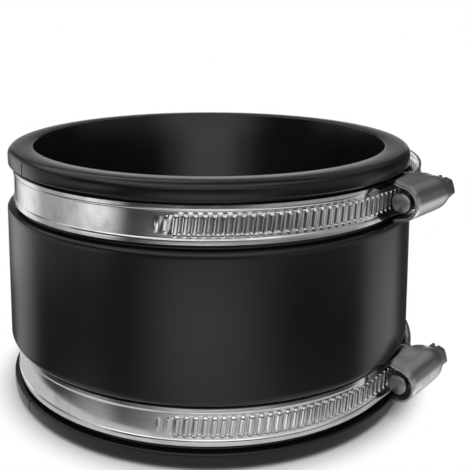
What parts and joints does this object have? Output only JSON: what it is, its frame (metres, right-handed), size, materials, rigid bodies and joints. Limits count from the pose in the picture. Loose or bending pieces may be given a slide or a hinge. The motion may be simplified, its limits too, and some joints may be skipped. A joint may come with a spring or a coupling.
{
  "type": "flexible pipe coupling",
  "caption": "Straight rubber sleeve that joins two pipe ends, with a worm-drive band clamp seated in a groove behind each lip.",
  "frame": {"origin": "on the axis of the sleeve's bore, in the plane of its bottom face", "axes": "+Z along the bore axis from the bottom face to the top face; -Y faces the side seen in the picture, with both clamp screws towards +X and -Y"},
  "size_m": [0.1372, 0.127, 0.076],
  "materials": {
    "rubber": "smooth moulded, low sheen",
    "band_steel": "bright rolled stainless steel",
    "housing_steel": "bright pressed stainless steel",
    "screw_steel": "bright plated steel"
  },
  "bodies": {
    "sleeve": {"rubber_sleeve": "rubber"},
    "upper_clamp": {"upper_band": "band_steel", "upper_housing": "housing_steel"},
    "upper_worm": {"upper_screw": "screw_steel"},
    "lower_clamp": {"lower_band": "band_steel", "lower_housing": "housing_steel"},
    "lower_worm": {"lower_screw": "screw_steel"}
  },
  "joints": [
    {"name": "upper_clamp_turn", "type": "hinge", "parent": "sleeve", "child": "upper_clamp", "pos_m": [0, 0, 0.0648], "axis": [0, 0, 1], "continuous": true},
    {"name": "upper_screw_turn", "type": "hinge", "parent": "upper_clamp", "child": "upper_worm", "pos_m": [0.05894, -0.03288, 0.0648], "axis": [0.6691, 0.7431, 0], "continuous": true},
    {"name": "lower_clamp_turn", "type": "hinge", "parent": "sleeve", "child": "lower_clamp", "pos_m": [0, 0, 0.0112], "axis": [0, 0, 1], "continuous": true},
    {"name": "lower_screw_turn", "type": "hinge", "parent": "lower_clamp", "child": "lower_worm", "pos_m": [0.05978, -0.03133, 0.0112], "axis": [0.6494, 0.7604, 0], "continuous": true}
  ]
}
